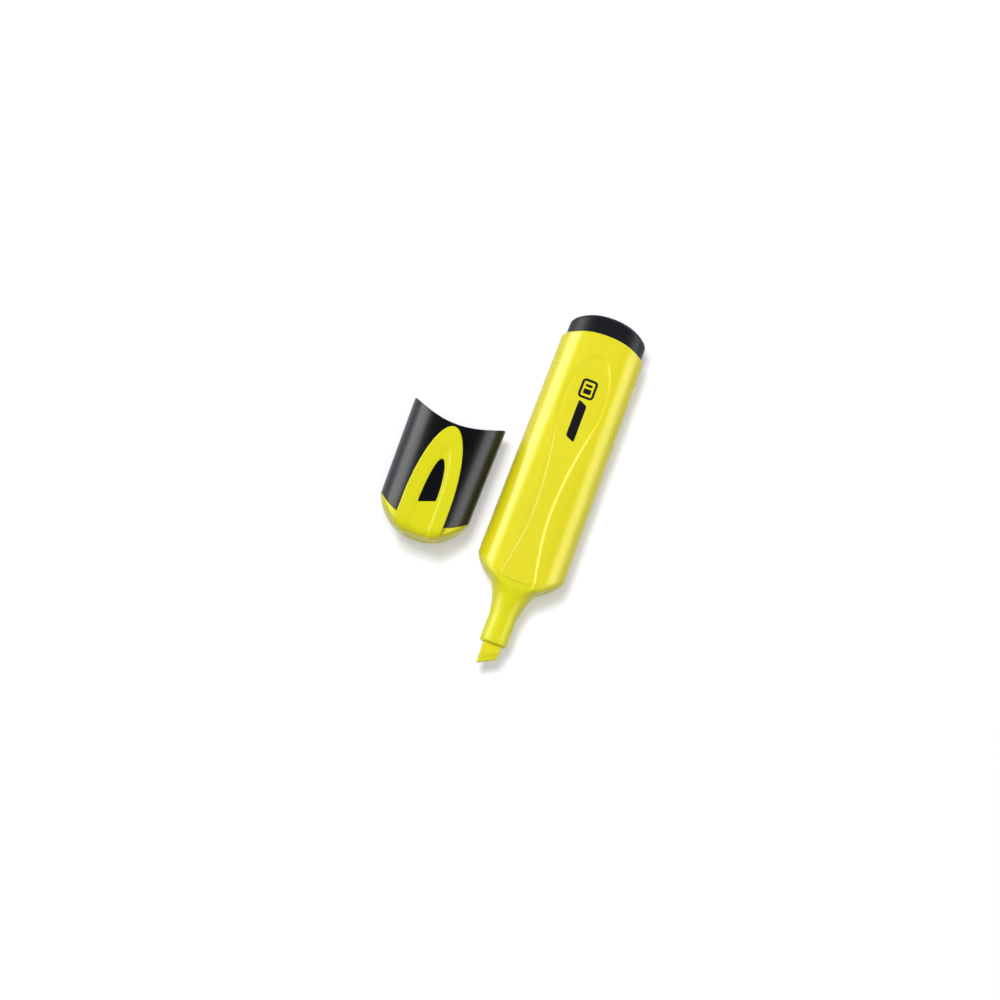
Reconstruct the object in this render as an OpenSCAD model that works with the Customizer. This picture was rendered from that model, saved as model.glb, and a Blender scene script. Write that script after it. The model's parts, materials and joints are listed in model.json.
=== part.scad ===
// Flat-barrel highlighter with its cap taken off and laid beside it.
// Frame: +X from the rear plug to the nib, +Z up from the table, origin on the table
// under the middle of the whole. The cap lies beside the barrel, towards -Y.
// The pieces are drawn about the middle of the barrel, and placed() moves them to that origin.

/* [Barrel] */
// Length of the barrel's sides, from rear corner to front corner
barrel_length = 72; // [60:1:86]
// Width of the barrel at its front
barrel_width = 28.2; // [25:0.2:32]
// Thickness of the barrel between its wide faces
barrel_thick = 16; // [15:0.5:19]
// How much narrower each side is at the rear than at the front
barrel_draft = 0.7; // [0:0.1:0.8]
// Half width of the flat band along each wide face
flat_half = 4.5; // [3:0.5:6]
// Wall thickness of the barrel
barrel_wall = 1.4; // [1.2:0.1:1.6]
// How far the rear edge bulges at its middle
rear_bulge = 3.1; // [2:0.1:4]
// How far the front edge bulges at its middle
front_bulge = 6.1; // [5:0.1:7]
// Width of each rib that holds the reservoir
rib_width = 0.8; // [0.6:0.1:1.2]

/* [Grip panel] */
// Depth of the recessed panel on each wide face
panel_depth = 0.5; // [0.3:0.05:0.6]
// Half width of the panel's upper lobe
panel_lobe = 7.35; // [5.5:0.05:8]
// Half width of the panel at its waist
panel_waist = 3.1; // [1.5:0.1:4]
// Half width of the panel where it meets the front edge
panel_flare = 6.2; // [4.5:0.1:7]
// Distance from the rear corner to the top of the panel
panel_margin = 3.2; // [2.5:0.1:7]
// Distance from the top of the panel to its widest place
lobe_setback = 16.2; // [12:0.2:20]
// Distance from the front corner back to the panel's waist
waist_setback = 16; // [12:0.5:20]

/* [Nose] */
// Diameter of the tip that the nib stands in
holder_dia = 8.6; // [8:0.1:9.4]
// Length of the nose beyond the barrel's front corner
nose_length = 25.9; // [24:0.1:28]
// Length of the straight part of the tip
holder_length = 9.2; // [8:0.1:10]
// Length of the nose that plugs into the barrel
nose_spigot = 8; // [6:0.5:10]
// Wall of the nose's spigot
spigot_wall = 1.2; // [1:0.1:1.5]

/* [Nib] */
// Width of the chisel nib
nib_width = 5.8; // [4.5:0.1:7]
// Thickness of the chisel nib
nib_thick = 3.8; // [3:0.1:4.2]
// How far the nib's long corner stands out of the nose
nib_reach = 7.1; // [6:0.1:7.5]
// Slant of the writing edge across the nib, in degrees
nib_slant = 29; // [20:1:35]
// Length of nib that is pushed into the reservoir
nib_bite = 4; // [3:0.5:6]

/* [Reservoir] */
// Thickness of the film round the fibre
film_wall = 0.25; // [0.2:0.05:0.4]
// Gap between the film and the inside of the barrel
reservoir_gap = 0.9; // [0.7:0.1:1.2]

/* [Rear plug] */
// How far the plug stands out at its middle
plug_reach = 6; // [4.5:0.1:7]
// How far the plug's rim is set in from the barrel's outside
plug_inset = 1.1; // [0.8:0.1:1.2]
// How far the plug's end bulges at its middle
plug_bulge = 3.6; // [2.5:0.1:4.5]
// Length of the plug inside the barrel
plug_spigot = 7; // [5:0.5:9]

/* [Cap] */
// Length of the cap's shell along its sides
shell_length = 31.5; // [30:0.5:36]
// How far the shell's edge bulges at its middle, round the cap's end
shell_bulge = 6.1; // [5:0.1:7]
// Wall thickness of the cap's shell
cap_wall = 0.7; // [0.6:0.05:1.1]
// Clearance all round between the cap and the barrel
cap_clear = 0.1; // [0.05:0.05:0.2]
// How much narrower each side is at the end than at the mouth
cap_draft = 0.7; // [0:0.1:0.9]
// How far the mouth's edge is scooped at its middle
mouth_dip = 4.7; // [3.5:0.1:5.5]
// How far the end piece shows past the shell at its sides
end_lip = 1; // [0.6:0.1:1.5]
// How far the end bulges at its middle
end_bulge = 8.2; // [6.5:0.1:9]
// Thickness of the end piece's walls
end_wall = 1.5; // [1.2:0.1:1.8]
// Length of the end piece inside the shell, along its sides
end_spigot = 5; // [4:0.5:8]
// Length of barrel that the cap's sides cover when it is on
cap_overlap = 4.5; // [4:0.5:5]
// Wall thickness of the inner sealing tube
seal_wall = 0.9; // [0.8:0.1:1.2]
// Radial clearance between the sealing tube and the tip of the nose
seal_clear = 0.05; // [0.03:0.01:0.1]
// Gap between the barrel and the cap that lies beside it
cap_gap = 5; // [2:0.5:10]
// Distance from the middle of the barrel back to the tips of the cap's mouth
cap_back = 1.2; // [0:0.1:10]

/* [Clip] */
// Width of the clip
clip_width = 15; // [13:0.2:16]
// Thickness of the clip
clip_thick = 1.6; // [1.4:0.1:1.8]
// Gap between the clip and the cap
clip_gap = 0.5; // [0.4:0.05:0.8]
// Distance from the middle of the cap's mouth to the tip of the clip
clip_margin = 1.2; // [0.8:0.1:2]
// Length of the clip that is straight before the line where it flexes
clip_straight = 1; // [0.5:0.5:6]
// How far the clip's root stands out past the cap's end
clip_proud = 1; // [0.5:0.1:1.5]
// Radius where the clip's root turns down over the cap's end
root_round = 3.5; // [2:0.5:5]
// Distance from the end of the cap back to the line where the clip flexes
hinge_back = 7.8; // [6:0.1:8.5]
// Width of the clip's rim beside its scoop
rim_width = 3.3; // [2.5:0.1:4]
// Distance from the tip of the clip to its scoop
scoop_margin = 6.4; // [5:0.1:8]
// Depth of the scoop between the clip's legs
scoop_depth = 0.6; // [0.3:0.1:0.8]
// Half width of the window in the clip
window_half = 2.6; // [2:0.1:3]
// Distance from the tip of the clip to the top of the window
window_margin = 10.6; // [9:0.1:12]
// Length of the clip between the window and the line where it flexes
bridge = 1.5; // [1.2:0.1:3]
// Slant of the window's lower edge, in degrees
window_slant = 20; // [0:1:25]

/* [Hidden] */

fit = 0.05;                                    // gap between pieces pressed together
seam = 0.05;                                   // gap at the visible line between barrel and nose
over = 1;                                      // how far a cutting shape runs past what it cuts
arc_steps = 12;                                // segments in a quarter of an oval
band_steps = 8;                                // segments across the flat band of the nose's oval
flare_steps = 12;                              // segments along the nose's flare
fine = 96;                                     // $fn of true circles

front_x = barrel_length / 2;
rear_x = -barrel_length / 2;
mid_z = barrel_thick / 2;
front_half = barrel_width / 2;
rear_half = front_half - barrel_draft;
tip_x = front_x + nose_length;                 // end of the nose
nib_x = tip_x + nib_reach;                     // tip of the nib
holder_r = holder_dia / 2;
flare_x = tip_x - holder_length;               // where the nose becomes a straight tip

nib_tail_x = front_x - nose_spigot - nib_bite;
reservoir_x1 = front_x - nose_spigot - fit;
reservoir_x0 = rear_x + plug_spigot + fit;

cap_half = front_half + cap_clear + cap_wall;
cap_mid_z = barrel_thick / 2 + cap_clear + cap_wall;
cap_top_z = 2 * cap_mid_z;
cap_y = -(front_half + cap_gap + cap_half);
mouth_x = -cap_back;                           // tips of the cap's mouth
shell_x = mouth_x + shell_length;              // corners of the shell's other edge
end_x = shell_x + end_lip;                     // corners of the end piece
cap_end_half = cap_half - cap_draft;
cap_tip_x = end_x + end_bulge;                 // middle of the cap's end
seal_r = holder_r + seal_clear;
seal_x0 = mouth_x + cap_overlap + flare_x - front_x;

clip_half = clip_width / 2;
clip_z0 = cap_top_z + clip_gap;
clip_z1 = clip_z0 + clip_thick;
clip_tip_x = mouth_x + mouth_dip + clip_margin;
hinge_x = cap_tip_x - hinge_back;
hinge_z = (clip_z0 + clip_z1) / 2;
knuckle_r = clip_thick / 2 + 0.1;
clip_bend = hinge_x - clip_tip_x - clip_straight;
scoop_x0 = clip_tip_x + scoop_margin;
scoop_x1 = hinge_x - knuckle_r;
window_x0 = clip_tip_x + window_margin;
window_x1 = hinge_x - bridge - window_half * tan(window_slant);

tail_x = rear_x - rear_bulge - plug_reach;     // rearmost point of the pen
middle_x = (tail_x + nib_x) / 2;               // middle of the whole, seen from above
middle_y = (cap_y - cap_half + front_half) / 2;

// Radius of an arc whose middle stands out by rise across a half width
function arc_radius(half, rise) = (half * half + rise * rise) / (2 * rise);
// Height of that arc at a distance from its middle
function arc_rise(y, half, rise) =
    let (r = arc_radius(half, rise)) sqrt(r * r - y * y) - (r - rise);
// Outline of an oval with a flat band along its top and bottom, and sides that are quarter
// ellipses; flat is the half width of that band, and band the number of segments in it
function quarter(a, b, flat, first, step, last, sy, sz) =
    [for (i = [first:step:last])
        [sy * (flat + (a - flat) * cos(90 * i / arc_steps)), sz * b * sin(90 * i / arc_steps)]];
function between(flat, b, band, side) =
    [for (k = [1:1:band - 1]) side * [flat * (1 - 2 * k / band), b]];
function oval(a, b, flat = flat_half, band = 1) = concat(
    quarter(a, b, flat, 0, 1, arc_steps, 1, 1),
    between(flat, b, band, 1),
    quarter(a, b, flat, arc_steps, -1, 0, -1, 1),
    quarter(a, b, flat, 1, 1, arc_steps, -1, -1),
    between(flat, b, band, -1),
    quarter(a, b, flat, arc_steps, -1, 1, 1, -1));
// Points of a cubic curve through its two ends and towards its two handles
function curve(p, steps) =
    [for (i = [0:steps - 1])
        let (t = i / steps, u = 1 - t)
        u * u * u * p[0] + 3 * u * u * t * p[1] + 3 * u * t * t * p[2] + t * t * t * p[3]];
function mirrored(points) = [for (i = [len(points) - 1:-1:0]) [points[i][0], -points[i][1]]];

// Oval bar along X from x0 to x1, of half width a and half thickness b
module bar(x0, x1, a, b)
    translate([x0, 0, mid_z])
        rotate([90, 0, 90])
            linear_extrude(x1 - x0)
                polygon(oval(a, b));

// The same with sides that draw in: half width a0 at x0 and a1 at x1. The rounded sides keep
// their shape and only the flat band narrows, so every face between them is flat.
module tapered_bar(x0, x1, a0, a1, b, round_half, y = 0, z = mid_z) {
    ring0 = oval(a0, b, a0 - round_half);
    ring1 = oval(a1, b, a1 - round_half);
    count = len(ring0);
    points = concat([for (p = ring0) [x0, y + p[0], z + p[1]]],
                    [for (p = ring1) [x1, y + p[0], z + p[1]]]);
    sides = [for (i = [0:count - 1])
        let (k = (i + 1) % count) [i, i + count, k + count, k]];
    ends = [[for (i = [0:count - 1]) i], [for (i = [count - 1:-1:0]) i + count]];
    polyhedron(points, concat(sides, ends), convexity = 4);
}

// Half width of the tapered barrel, or of the tapered cap, at a place along it
function barrel_half(x) = rear_half + barrel_draft * (x - rear_x) / barrel_length;
function cap_half_at(x) = cap_half - cap_draft * (x - mouth_x) / (cap_tip_x - mouth_x);

// Tapered bar that follows the barrel's outside, set in by inset
module barrel_bar(x0, x1, inset)
    tapered_bar(x0, x1, barrel_half(x0) - inset, barrel_half(x1) - inset, mid_z - inset,
                front_half - flat_half - inset);

// Tapered bar that follows the cap's outside, set in by inset
module cap_bar(x0, x1, inset)
    tapered_bar(x0, x1, cap_half_at(x0) - inset, cap_half_at(x1) - inset, cap_mid_z - inset,
                cap_half - flat_half - inset, cap_y, cap_mid_z);

// Everything on the near side of an edge that bulges towards +X, standing along Z
module behind_edge(x, half, rise, y = 0) {
    r = arc_radius(half, rise);
    translate([x + rise - r, y, -over])
        cylinder(r = r, h = clip_z1 + 2 * over, $fn = fine);
    // the far side of the disc is cut away, so that only the arc is left as an edge
    translate([x - 4 * barrel_length, y - barrel_width, -over])
        cube([4 * barrel_length, 2 * barrel_width, clip_z1 + 2 * over]);
}

// The same for an edge that bulges towards -X
module ahead_of_edge(x, half, rise)
    mirror([1, 0, 0])
        behind_edge(-x, half, rise);

// Outline of the grip panel: lobe at the rear, waist, and flare at the front edge
module panel_outline() {
    top_x = rear_x + panel_margin;
    lobe_x = top_x + lobe_setback;
    waist_x = front_x - waist_setback;
    flare_end = front_x + front_bulge;
    neck = waist_x - lobe_x;
    skirt = flare_end - waist_x;
    side = concat(
        curve([[top_x, 0], [top_x, 0.55 * panel_lobe],
               [lobe_x - 0.55 * lobe_setback, panel_lobe], [lobe_x, panel_lobe]], arc_steps),
        curve([[lobe_x, panel_lobe], [lobe_x + 0.19 * neck, panel_lobe],
               [waist_x - 0.53 * neck, panel_waist], [waist_x, panel_waist]], arc_steps),
        curve([[waist_x, panel_waist], [waist_x + 0.32 * skirt, panel_waist],
               [flare_end - 0.37 * skirt, (panel_waist + panel_flare) / 2],
               [flare_end, panel_flare]], arc_steps),
        [[flare_end, panel_flare], [flare_end + over, panel_flare]]);
    polygon(concat(side, [for (p = mirrored(side)) if (p[1] < 0) p]));
}

module barrel_body(inset)
    intersection() {
        barrel_bar(rear_x - rear_bulge - over, front_x + front_bulge + over, inset);
        ahead_of_edge(rear_x, rear_half, rear_bulge);
        behind_edge(front_x, front_half, front_bulge);
    }

module ribs() {
    long = reservoir_x1 - reservoir_x0;
    high = reservoir_gap - fit;
    for (side = [-1, 1], y = [-flat_half, flat_half])
        translate([reservoir_x0, y - rib_width / 2, mid_z + side * (mid_z - barrel_wall)])
            translate([0, 0, side > 0 ? -high : 0])
                cube([long, rib_width, high]);
}

module barrel()
    color("#e9e713") {
        difference() {
            barrel_body(0);
            barrel_bar(rear_x - rear_bulge - 2 * over, front_x + front_bulge + 2 * over, barrel_wall);
            difference() {
                translate([0, 0, -over])
                    linear_extrude(barrel_thick + 2 * over)
                        panel_outline();
                barrel_bar(rear_x - 2 * over, front_x + front_bulge + 2 * over, panel_depth);
            }
        }
        ribs();
    }

// Nose: lines of points that start round the barrel's front edge, run along the flare and end
// round the end of the tip
function nose_line(p, angle) =
    let (y = holder_r * cos(angle),
         z = holder_r * sin(angle),
         start = [front_x + seam + arc_rise(p[0], front_half, front_bulge), p[0], p[1]],
         stop = [flare_x, y, z],
         run = flare_x - start[0],
         h1 = [start[0] + 0.34 * run, 0.93 * start[1], 0.93 * start[2]],
         h2 = [flare_x - 0.9 * run, 1.55 * y, 1.55 * z])
    concat(curve([start, h1, h2, stop], flare_steps), [stop, [tip_x, y, z]]);

module nose_body() {
    outline = oval(front_half, mid_z, band = band_steps);
    count = len(outline);
    lines = [for (i = [0:count - 1]) nose_line(outline[i], 360 * i / count)];
    last = len(lines[0]) - 1;
    points = [for (j = [0:last], i = [0:count - 1]) lines[i][j]];
    skin = [for (j = [0:last - 1], i = [0:count - 1])
        let (k = (i + 1) % count)
        each [[j * count + i, (j + 1) * count + i, (j + 1) * count + k],
              [j * count + i, (j + 1) * count + k, j * count + k]]];
    // the rear face bulges like the barrel's edge, so it is closed by strips that stand along Z
    half = count / 2;
    rear = [for (i = [0:half - 1])
        let (a = i, b = i + 1, c = (count - i - 1) % count, d = (count - i) % count)
        each (i == 0 ? [[a, b, c]] : i == half - 1 ? [[d, a, c]] : [[a, b, c], [a, c, d]])];
    tip = [[for (i = [0:count - 1]) last * count + i]];
    translate([0, 0, mid_z])
        polyhedron(points, concat(skin, rear, tip), convexity = 6);
}

module nose()
    color("#e4e000")
        difference() {
            union() {
                nose_body();
                intersection() {
                    barrel_bar(front_x - nose_spigot, front_x + front_bulge + over, barrel_wall + fit);
                    behind_edge(front_x + 2 * seam, front_half, front_bulge);
                }
            }
            // room inside the spigot, and the slot for the nib
            barrel_bar(front_x - nose_spigot - over, front_x, barrel_wall + fit + spigot_wall);
            translate([front_x - over, -(nib_width / 2 + fit), mid_z - nib_thick / 2 - fit])
                cube([nose_length + 2 * over, nib_width + 2 * fit, nib_thick + 2 * fit]);
        }

// Outline of the nib seen from above: a slanted writing edge with one corner taken off
module nib_outline() {
    half = nib_width / 2;
    drop = nib_width * tan(nib_slant);
    corner = 0.9;
    polygon([[nib_tail_x, -half], [nib_x - corner * 1.6, -half], [nib_x, -half + corner],
             [nib_x - drop + corner * tan(nib_slant), half], [nib_tail_x, half]]);
}

module nib()
    color("#dedb00")
        translate([0, 0, mid_z - nib_thick / 2])
            linear_extrude(nib_thick)
                nib_outline();

module reservoir_bar(x0, x1, inset)
    bar(x0, x1, rear_half - barrel_wall - reservoir_gap - inset,
        mid_z - barrel_wall - reservoir_gap - inset);

module reservoir()
    color("#dfe34a")
        difference() {
            reservoir_bar(reservoir_x0, reservoir_x1, film_wall + fit);
            translate([nib_tail_x - fit, -(nib_width / 2 + fit), mid_z - nib_thick / 2 - fit])
                cube([nib_bite + over, nib_width + 2 * fit, nib_thick + 2 * fit]);
        }

module reservoir_film()
    color("#f4f4ec", 0.6)
        difference() {
            reservoir_bar(reservoir_x0, reservoir_x1, 0);
            reservoir_bar(reservoir_x0 - over, reservoir_x1 + over, film_wall);
        }

module rear_plug()
    color("#17181a")
        difference() {
            union() {
                // the head that shows, set in from the barrel and seated on its rear edge
                difference() {
                    intersection() {
                        barrel_bar(rear_x - rear_bulge - plug_reach - over, rear_x + over, plug_inset);
                        ahead_of_edge(rear_x - rear_bulge - plug_reach + plug_bulge,
                                      rear_half - plug_inset, plug_bulge);
                    }
                    translate([-seam, 0, 0])
                        ahead_of_edge(rear_x, rear_half, rear_bulge);
                }
                // the spigot inside the barrel
                barrel_bar(rear_x - rear_bulge - plug_reach / 2, rear_x + plug_spigot,
                           barrel_wall + fit);
            }
            barrel_bar(rear_x - rear_bulge - plug_reach / 2 + spigot_wall,
                       rear_x + plug_spigot + over, barrel_wall + fit + spigot_wall);
        }

// Outline of the clip, its scoop or its window: half an ellipse at the tip, then straight
// sides to x1
module arch(tip, half, bend, x1) {
    side = [for (i = [0:2 * arc_steps])
        [tip + bend * (1 - cos(45 * i / arc_steps)), half * sin(45 * i / arc_steps)]];
    translate([0, cap_y])
        polygon(concat(side, [[x1, half], [x1, -half]],
                       [for (p = mirrored(side)) if (p[1] < 0) p]));
}

// Everything before the curved end of the cap, moved by shift
module before_end(shift)
    behind_edge(end_x + shift, cap_end_half, end_bulge, cap_y);

// The clip's root: it fills a notch in the shell, then turns down over the cap's end
module root(grow) {
    x1 = cap_tip_x + clip_proud + over;
    round_x = cap_tip_x + clip_proud - root_round;
    round_z = clip_z1 - root_round;
    intersection() {
        translate([0, cap_y + clip_half + grow, 0])
            rotate([90, 0, 0])
                linear_extrude(clip_width + 2 * grow) {
                    translate([hinge_x - grow, cap_mid_z])
                        square([round_x - hinge_x + grow, clip_z1 - cap_mid_z]);
                    translate([hinge_x - grow, cap_mid_z])
                        square([x1 - hinge_x + grow, round_z - cap_mid_z]);
                    translate([round_x, round_z])
                        circle(root_round, $fn = fine);
                }
        before_end(clip_proud);
    }
}

module cap_shell()
    color("#17181a")
        difference() {
            intersection() {
                cap_bar(mouth_x, cap_tip_x, 0);
                behind_edge(shell_x, cap_end_half, shell_bulge, cap_y);
            }
            cap_bar(mouth_x - over, cap_tip_x + over, cap_wall);
            // scooped mouth
            translate([mouth_x + mouth_dip - arc_radius(cap_half, mouth_dip), cap_y, -over])
                cylinder(r = arc_radius(cap_half, mouth_dip), h = cap_top_z + 2 * over, $fn = fine);
            root(fit);
        }

// End piece: a curved end that shows past the shell, a spigot inside it, and the clip's root
module cap_end()
    color("#e9e713")
        difference() {
            union() {
                difference() {
                    union() {
                        intersection() {
                            difference() {
                                cap_bar(shell_x, cap_tip_x + over, 0);
                                behind_edge(shell_x + seam, cap_end_half, shell_bulge, cap_y);
                            }
                            before_end(0);
                        }
                        intersection() {
                            cap_bar(shell_x - end_spigot, cap_tip_x + over, cap_wall + fit);
                            before_end(-over / 2);
                        }
                        root(0);
                    }
                    // room inside the end piece
                    intersection() {
                        cap_bar(shell_x - end_spigot - over, cap_tip_x + over,
                                cap_wall + fit + end_wall);
                        before_end(-end_wall);
                    }
                }
                // socket round the foot of the sealing tube
                intersection() {
                    translate([end_x, cap_y, cap_mid_z])
                        rotate([0, 90, 0])
                            cylinder(r = seal_r + 2 * seal_wall + fit, h = end_bulge, $fn = fine);
                    before_end(-end_wall / 2);
                }
            }
            translate([mouth_x, cap_y, cap_mid_z])
                rotate([0, 90, 0])
                    cylinder(r = seal_r + seal_wall + fit, h = cap_tip_x - end_wall - mouth_x,
                             $fn = fine);
            // seat of the clip's knuckle
            translate([hinge_x, cap_y - clip_half - over, hinge_z])
                rotate([-90, 0, 0])
                    cylinder(r = knuckle_r + fit, h = clip_width + 2 * over, $fn = fine);
        }

module inner_cap()
    color("#f0f0ea")
        translate([seal_x0, cap_y, cap_mid_z])
            rotate([0, 90, 0])
                difference() {
                    cylinder(r = seal_r + seal_wall, h = cap_tip_x - end_wall - fit - seal_x0,
                             $fn = fine);
                    translate([0, 0, -over])
                        cylinder(r = seal_r, h = cap_tip_x - seal_x0, $fn = fine);
                }

module clip()
    color("#e9e713")
        difference() {
            union() {
                translate([0, 0, clip_z0])
                    linear_extrude(clip_thick)
                        arch(clip_tip_x, clip_half, clip_bend, hinge_x);
                translate([hinge_x, cap_y - clip_half, hinge_z])
                    rotate([-90, 0, 0])
                        cylinder(r = knuckle_r, h = clip_width, $fn = fine);
            }
            // scoop between the legs
            translate([0, 0, clip_z1 - scoop_depth])
                linear_extrude(clip_thick)
                    arch(scoop_x0, clip_half - rim_width, scoop_x1 - scoop_x0 - clip_straight,
                         scoop_x1);
            // window, with its slanted lower edge
            translate([0, 0, cap_top_z])
                linear_extrude(2 * clip_thick + clip_gap)
                    difference() {
                        arch(window_x0, window_half, window_x1 - window_x0, hinge_x);
                        translate([window_x1, cap_y])
                            rotate(window_slant)
                                translate([0, -clip_width])
                                    square(2 * clip_width);
                    }
        }

// Moves what was drawn about the middle of the barrel to the part's own origin
module placed()
    translate([-middle_x, -middle_y, 0])
        children();

placed() barrel();
placed() nose();
placed() nib();
placed() reservoir();
placed() reservoir_film();
placed() rear_plug();
placed() cap_shell();
placed() cap_end();
placed() inner_cap();
placed() clip();
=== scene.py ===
"""Looks of a flat yellow highlighter and its cap.

Every length below is in millimetres in the frame's own axes (+X from the rear plug to the nib,
+Z up from the table), and each mesh is turned into metres when it is made.
"""

import json
import math

import bmesh
import bpy
import numpy as np
from mathutils import Matrix, Vector


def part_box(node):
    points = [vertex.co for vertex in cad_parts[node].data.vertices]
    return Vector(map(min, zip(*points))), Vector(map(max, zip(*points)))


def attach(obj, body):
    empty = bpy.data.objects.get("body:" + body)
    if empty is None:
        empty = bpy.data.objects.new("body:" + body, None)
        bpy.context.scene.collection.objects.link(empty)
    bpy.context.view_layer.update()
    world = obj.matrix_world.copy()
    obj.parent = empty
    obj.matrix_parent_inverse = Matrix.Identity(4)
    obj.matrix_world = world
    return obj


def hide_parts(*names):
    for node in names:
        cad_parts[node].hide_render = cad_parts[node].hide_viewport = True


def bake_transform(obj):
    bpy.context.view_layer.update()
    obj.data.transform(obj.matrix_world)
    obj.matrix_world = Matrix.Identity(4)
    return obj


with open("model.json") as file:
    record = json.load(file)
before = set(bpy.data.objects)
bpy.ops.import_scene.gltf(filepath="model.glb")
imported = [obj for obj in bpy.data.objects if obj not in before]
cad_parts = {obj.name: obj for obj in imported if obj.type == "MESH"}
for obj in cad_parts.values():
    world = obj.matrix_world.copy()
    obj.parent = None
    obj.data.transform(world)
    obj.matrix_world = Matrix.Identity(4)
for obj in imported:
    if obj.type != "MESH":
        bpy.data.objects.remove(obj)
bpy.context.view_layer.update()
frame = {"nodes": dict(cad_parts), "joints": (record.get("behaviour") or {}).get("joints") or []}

MM = 0.001


def cad(node):
    """Lowest and highest corner of a CAD node, in millimetres."""
    low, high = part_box(node)
    return np.array(low) / MM, np.array(high) / MM


# ---------------------------------------------------------------------------------------------
# Sizes: overall places come from the frame, and the rest are the part's own shape values
# ---------------------------------------------------------------------------------------------

barrel_low, barrel_high = cad("barrel")
REAR_BULGE = 3.1
FRONT_BULGE = 6.1
PEN_Y = (barrel_low[1] + barrel_high[1]) / 2
PEN_THICK = barrel_high[2] / 2               # half thickness of the barrel
REAR_X = barrel_low[0] + REAR_BULGE          # rear corners of the barrel
FRONT_X = barrel_high[0] - FRONT_BULGE       # front corners of the barrel
FRONT_HALF = (barrel_high[1] - barrel_low[1]) / 2
REAR_HALF = FRONT_HALF - 0.7
FLAT_HALF = 4.5                              # half width of the flat band on each wide face
BARREL_WALL = 1.4
SEAM = 0.05

PANEL_DEPTH = 0.5
PANEL_WALL, TOP_WALL = 1.05, 0.35            # width of its walls, and what its top adds
PANEL_TOP = REAR_X + 3.2
LOBE_X, LOBE_HALF = PANEL_TOP + 16.2, 7.35
WAIST_X, WAIST_HALF = FRONT_X - 16, 3.1
FLARE_X, FLARE_HALF = FRONT_X + FRONT_BULGE, 6.2

TIP_X = cad("nose")[1][0]
HOLDER_R = 4.3
HOLDER_X = TIP_X - 9.2                       # where the flare becomes a straight tip
FLARE_LEAVE, FLARE_ARRIVE = 0.34, 0.9        # reach of the flare's handles, as shares of it
FLARE_DRAWN, FLARE_SPREAD = 0.93, 1.55       # their widths, as shares of the flare's ends

nib_low, nib_high = cad("nib")
NIB_HALF = (nib_high[1] - nib_low[1]) / 2
NIB_THICK = (nib_high[2] - nib_low[2]) / 2
NIB_SLANT = math.tan(math.radians(29))
WORN_CORNER = 0.3                            # what writing has taken off the long corner

PLUG_INSET = 1.1
PLUG_BULGE = 3.6
PLUG_X = cad("rear_plug")[0][0]              # rearmost point of the plug

shell_low, shell_high = cad("cap_shell")
CAP_Y = (shell_low[1] + shell_high[1]) / 2
CAP_HALF = (shell_high[1] - shell_low[1]) / 2
CAP_END_HALF = CAP_HALF - 0.7
CAP_THICK = shell_high[2] / 2
CAP_WALL = 0.7
MOUTH_X = shell_low[0]
MOUTH_DIP = 4.7
SHELL_BULGE = 6.1
SHELL_X = MOUTH_X + 31.5                     # corners of the shell's edge at the cap's end
END_BULGE = 8.2
END_X = SHELL_X + 1                          # corners of the end piece

clip_low, clip_high = cad("clip")
CLIP_HALF = (clip_high[1] - clip_low[1]) / 2
CLIP_TIP = clip_low[0]
CLIP_Z0, CLIP_Z1 = clip_low[2] + 0.1, clip_high[2] - 0.1
hinge = next(j for j in frame["joints"] if j["name"] == "clip_flex")
HINGE_X = hinge["pos_m"][0] / MM
WRAP_X = cad("cap_end")[1][0]                # end of the clip's root, past the cap's end


# ---------------------------------------------------------------------------------------------
# Curves and sections
# ---------------------------------------------------------------------------------------------

def smooth(t):
    """Eased step from 0 to 1 as t goes from 0 to 1."""
    t = np.clip(t, 0, 1)
    return t * t * (3 - 2 * t)


def arc(y, half, rise):
    """How far an arc of half width half, whose middle stands out by rise, stands out at y."""
    radius = (half * half + rise * rise) / (2 * rise)
    y = np.clip(y, -half, half)
    return np.sqrt(radius * radius - y * y) - (radius - rise)


def bezier(a, b, c, d, steps):
    """Points of a cubic curve from a to d, with handles b and c."""
    t = np.linspace(0, 1, steps + 1)[:, None]
    u = 1 - t
    a, b, c, d = map(np.array, (a, b, c, d))
    return u**3 * a + 3 * u * u * t * b + 3 * u * t * t * c + t**3 * d


def fillet(radius, steps=6):
    """(set back, inset) pairs round an edge: from the side surface to the end face."""
    turns = np.linspace(0, math.pi / 2, steps + 1)
    return [(radius * (1 - math.sin(a)), radius * (1 - math.cos(a))) for a in turns]


def oval(half, thick, rounding, quarter=22, band=14):
    """Points round an oval: flat bands joined by quarter ellipses rounding wide."""
    flat = half - rounding
    angle = np.linspace(0, math.pi / 2, quarter + 1)
    side = np.stack([flat + rounding * np.cos(angle), thick * np.sin(angle)], 1)
    top = np.stack([np.linspace(flat, -flat, band + 1)[1:-1], np.full(band - 1, thick)], 1)
    mirror_y, mirror_z = np.array([-1, 1]), np.array([1, -1])
    upper = np.concatenate([side, top, side[::-1] * mirror_y])
    return np.concatenate([upper, upper[-2:0:-1] * mirror_z])


def inside(line, x, y):
    """How far each place lies within a symmetric outline, given as (x, half width) points."""
    y = np.abs(y)
    nearest = np.full(x.shape, np.inf)
    for (ax, ay), (bx, by) in zip(line[:-1], line[1:]):
        dx, dy = bx - ax, by - ay
        t = np.clip(((x - ax) * dx + (y - ay) * dy) / (dx * dx + dy * dy), 0, 1)
        nearest = np.minimum(nearest, np.hypot(x - ax - t * dx, y - ay - t * dy))
    half = np.interp(x, line[:, 0], line[:, 1], left=0)
    return np.where((y < half) & (x > line[0, 0]), nearest, 0)


def ring(x_of_y, half, thick, rounding, **counts):
    """One ring of an oval body: its place along X may change across its width."""
    yz = oval(half, thick, rounding, **counts)
    return np.column_stack([np.broadcast_to(x_of_y(yz[:, 0]), len(yz)), yz])


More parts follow.
